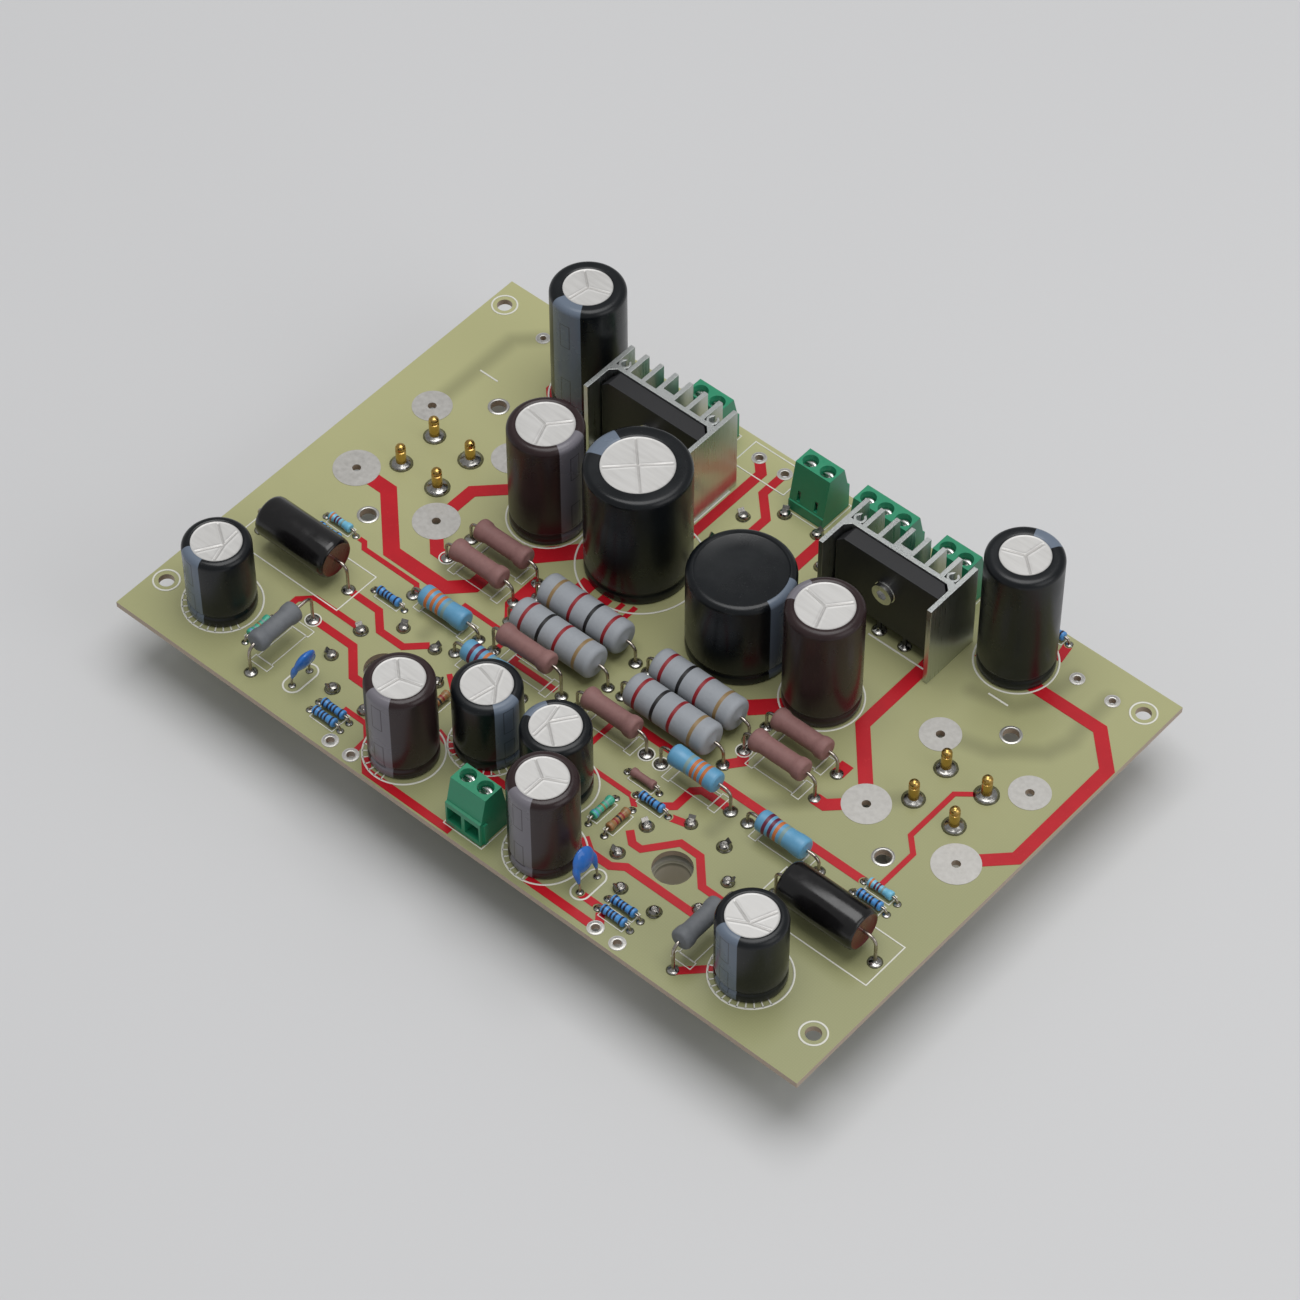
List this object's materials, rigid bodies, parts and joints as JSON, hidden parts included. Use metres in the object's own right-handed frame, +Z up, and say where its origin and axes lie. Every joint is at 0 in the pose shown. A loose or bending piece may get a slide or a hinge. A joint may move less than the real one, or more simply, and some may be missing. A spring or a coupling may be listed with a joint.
{
  "type": "audio amplifier board",
  "caption": "Flat circuit board for a stereo valve amplifier, with capacitors, resistors, finned heatsinks and screw terminals on top and valve sockets underneath.",
  "frame": {"origin": "middle of the board's outline, on the table under the valve sockets", "axes": "+X along the board to the right, +Y from the front edge with one terminal to the back edge, +Z up"},
  "size_m": [0.2, 0.133, 0.0558],
  "materials": {
    "board_laminate": "satin",
    "red_lacquer": "gloss",
    "tin": "satin",
    "solder": "gloss",
    "white_ceramic": "satin",
    "gold_plate": "polished",
    "bare_aluminium": "satin",
    "black_moulding": "matte",
    "bright_steel": "polished",
    "green_moulding": "satin",
    "black_sleeve": "gloss",
    "brown_sleeve": "gloss",
    "black_film": "gloss",
    "blue_dip": "gloss",
    "grey_coating": "matte",
    "pink_coating": "matte",
    "blue_coating": "satin",
    "slate_coating": "matte",
    "bright_blue_coating": "satin"
  },
  "bodies": {
    "board": {"circuit_board": "board_laminate", "lacquered_tracks": "red_lacquer", "tinned_pads": "tin", "solder_joints": "solder", "octal_socket_left": "white_ceramic", "octal_socket_right": "white_ceramic", "octal_socket_rear": "white_ceramic", "octal_contacts": "solder", "output_socket_left": "white_ceramic", "output_socket_right": "white_ceramic", "output_contacts": "gold_plate", "heatsink_left": "bare_aluminium", "heatsink_right": "bare_aluminium", "bridge_left": "black_moulding", "bridge_right": "black_moulding", "heatsink_screws": "bright_steel", "heatsink_pins": "tin", "terminal_front": "green_moulding", "terminal_back_1": "green_moulding", "terminal_back_2": "green_moulding", "terminal_back_3": "green_moulding", "terminal_back_4": "green_moulding", "terminal_bars": "tin", "tall_capacitors": "black_sleeve", "large_brown_capacitors": "brown_sleeve", "main_capacitor": "black_sleeve", "flat_capacitor": "black_sleeve", "small_black_capacitors": "black_sleeve", "small_brown_capacitors": "brown_sleeve", "film_capacitors": "black_film", "ceramic_capacitors": "blue_dip", "power_resistors": "grey_coating", "wirewound_resistors": "pink_coating", "blue_resistors": "blue_coating", "grey_resistors": "slate_coating", "small_resistors": "bright_blue_coating"},
    "screw_front_pole_1": {"screw_front_pole_1": "bright_steel"},
    "clamp_front_pole_1": {"clamp_front_pole_1": "tin"},
    "screw_front_pole_2": {"screw_front_pole_2": "bright_steel"},
    "clamp_front_pole_2": {"clamp_front_pole_2": "tin"},
    "screw_back_1_pole_1": {"screw_back_1_pole_1": "bright_steel"},
    "clamp_back_1_pole_1": {"clamp_back_1_pole_1": "tin"},
    "screw_back_1_pole_2": {"screw_back_1_pole_2": "bright_steel"},
    "clamp_back_1_pole_2": {"clamp_back_1_pole_2": "tin"},
    "screw_back_2_pole_1": {"screw_back_2_pole_1": "bright_steel"},
    "clamp_back_2_pole_1": {"clamp_back_2_pole_1": "tin"},
    "screw_back_2_pole_2": {"screw_back_2_pole_2": "bright_steel"},
    "clamp_back_2_pole_2": {"clamp_back_2_pole_2": "tin"},
    "screw_back_3_pole_1": {"screw_back_3_pole_1": "bright_steel"},
    "clamp_back_3_pole_1": {"clamp_back_3_pole_1": "tin"},
    "screw_back_3_pole_2": {"screw_back_3_pole_2": "bright_steel"},
    "clamp_back_3_pole_2": {"clamp_back_3_pole_2": "tin"},
    "screw_back_3_pole_3": {"screw_back_3_pole_3": "bright_steel"},
    "clamp_back_3_pole_3": {"clamp_back_3_pole_3": "tin"},
    "screw_back_4_pole_1": {"screw_back_4_pole_1": "bright_steel"},
    "clamp_back_4_pole_1": {"clamp_back_4_pole_1": "tin"},
    "screw_back_4_pole_2": {"screw_back_4_pole_2": "bright_steel"},
    "clamp_back_4_pole_2": {"clamp_back_4_pole_2": "tin"}
  },
  "joints": [
    {"name": "turn_front_pole_1", "type": "hinge", "parent": "board", "child": "screw_front_pole_1", "pos_m": [0.00126, -0.059, 0.0308], "axis": [0, 0, -1], "range_deg": [0, 1440]},
    {"name": "lift_front_pole_1", "type": "slide", "parent": "board", "child": "clamp_front_pole_1", "axis": [0, 0, 1], "range_m": [0, 0.002]},
    {"name": "turn_front_pole_2", "type": "hinge", "parent": "board", "child": "screw_front_pole_2", "pos_m": [0.00634, -0.059, 0.0308], "axis": [0, 0, -1], "range_deg": [0, 1440]},
    {"name": "lift_front_pole_2", "type": "slide", "parent": "board", "child": "clamp_front_pole_2", "axis": [0, 0, 1], "range_m": [0, 0.002]},
    {"name": "turn_back_1_pole_1", "type": "hinge", "parent": "board", "child": "screw_back_1_pole_1", "pos_m": [-0.03424, 0.059, 0.0308], "axis": [0, 0, -1], "range_deg": [0, 1440]},
    {"name": "lift_back_1_pole_1", "type": "slide", "parent": "board", "child": "clamp_back_1_pole_1", "axis": [0, 0, 1], "range_m": [0, 0.002]},
    {"name": "turn_back_1_pole_2", "type": "hinge", "parent": "board", "child": "screw_back_1_pole_2", "pos_m": [-0.02916, 0.059, 0.0308], "axis": [0, 0, -1], "range_deg": [0, 1440]},
    {"name": "lift_back_1_pole_2", "type": "slide", "parent": "board", "child": "clamp_back_1_pole_2", "axis": [0, 0, 1], "range_m": [0, 0.002]},
    {"name": "turn_back_2_pole_1", "type": "hinge", "parent": "board", "child": "screw_back_2_pole_1", "pos_m": [-0.00124, 0.059, 0.0308], "axis": [0, 0, -1], "range_deg": [0, 1440]},
    {"name": "lift_back_2_pole_1", "type": "slide", "parent": "board", "child": "clamp_back_2_pole_1", "axis": [0, 0, 1], "range_m": [0, 0.002]},
    {"name": "turn_back_2_pole_2", "type": "hinge", "parent": "board", "child": "screw_back_2_pole_2", "pos_m": [0.00384, 0.059, 0.0308], "axis": [0, 0, -1], "range_deg": [0, 1440]},
    {"name": "lift_back_2_pole_2", "type": "slide", "parent": "board", "child": "clamp_back_2_pole_2", "axis": [0, 0, 1], "range_m": [0, 0.002]},
    {"name": "turn_back_3_pole_1", "type": "hinge", "parent": "board", "child": "screw_back_3_pole_1", "pos_m": [0.01572, 0.059, 0.0308], "axis": [0, 0, -1], "range_deg": [0, 1440]},
    {"name": "lift_back_3_pole_1", "type": "slide", "parent": "board", "child": "clamp_back_3_pole_1", "axis": [0, 0, 1], "range_m": [0, 0.002]},
    {"name": "turn_back_3_pole_2", "type": "hinge", "parent": "board", "child": "screw_back_3_pole_2", "pos_m": [0.0208, 0.059, 0.0308], "axis": [0, 0, -1], "range_deg": [0, 1440]},
    {"name": "lift_back_3_pole_2", "type": "slide", "parent": "board", "child": "clamp_back_3_pole_2", "axis": [0, 0, 1], "range_m": [0, 0.002]},
    {"name": "turn_back_3_pole_3", "type": "hinge", "parent": "board", "child": "screw_back_3_pole_3", "pos_m": [0.02588, 0.059, 0.0308], "axis": [0, 0, -1], "range_deg": [0, 1440]},
    {"name": "lift_back_3_pole_3", "type": "slide", "parent": "board", "child": "clamp_back_3_pole_3", "axis": [0, 0, 1], "range_m": [0, 0.002]},
    {"name": "turn_back_4_pole_1", "type": "hinge", "parent": "board", "child": "screw_back_4_pole_1", "pos_m": [0.03866, 0.059, 0.0308], "axis": [0, 0, -1], "range_deg": [0, 1440]},
    {"name": "lift_back_4_pole_1", "type": "slide", "parent": "board", "child": "clamp_back_4_pole_1", "axis": [0, 0, 1], "range_m": [0, 0.002]},
    {"name": "turn_back_4_pole_2", "type": "hinge", "parent": "board", "child": "screw_back_4_pole_2", "pos_m": [0.04374, 0.059, 0.0308], "axis": [0, 0, -1], "range_deg": [0, 1440]},
    {"name": "lift_back_4_pole_2", "type": "slide", "parent": "board", "child": "clamp_back_4_pole_2", "axis": [0, 0, 1], "range_m": [0, 0.002]}
  ],
  "couplings": [
    {"joint": "turn_front_pole_1", "follows": "lift_front_pole_1", "rad_per_m": 12566},
    {"joint": "turn_front_pole_2", "follows": "lift_front_pole_2", "rad_per_m": 12566},
    {"joint": "turn_back_1_pole_1", "follows": "lift_back_1_pole_1", "rad_per_m": 12566},
    {"joint": "turn_back_1_pole_2", "follows": "lift_back_1_pole_2", "rad_per_m": 12566},
    {"joint": "turn_back_2_pole_1", "follows": "lift_back_2_pole_1", "rad_per_m": 12566},
    {"joint": "turn_back_2_pole_2", "follows": "lift_back_2_pole_2", "rad_per_m": 12566},
    {"joint": "turn_back_3_pole_1", "follows": "lift_back_3_pole_1", "rad_per_m": 12566},
    {"joint": "turn_back_3_pole_2", "follows": "lift_back_3_pole_2", "rad_per_m": 12566},
    {"joint": "turn_back_3_pole_3", "follows": "lift_back_3_pole_3", "rad_per_m": 12566},
    {"joint": "turn_back_4_pole_1", "follows": "lift_back_4_pole_1", "rad_per_m": 12566},
    {"joint": "turn_back_4_pole_2", "follows": "lift_back_4_pole_2", "rad_per_m": 12566}
  ]
}
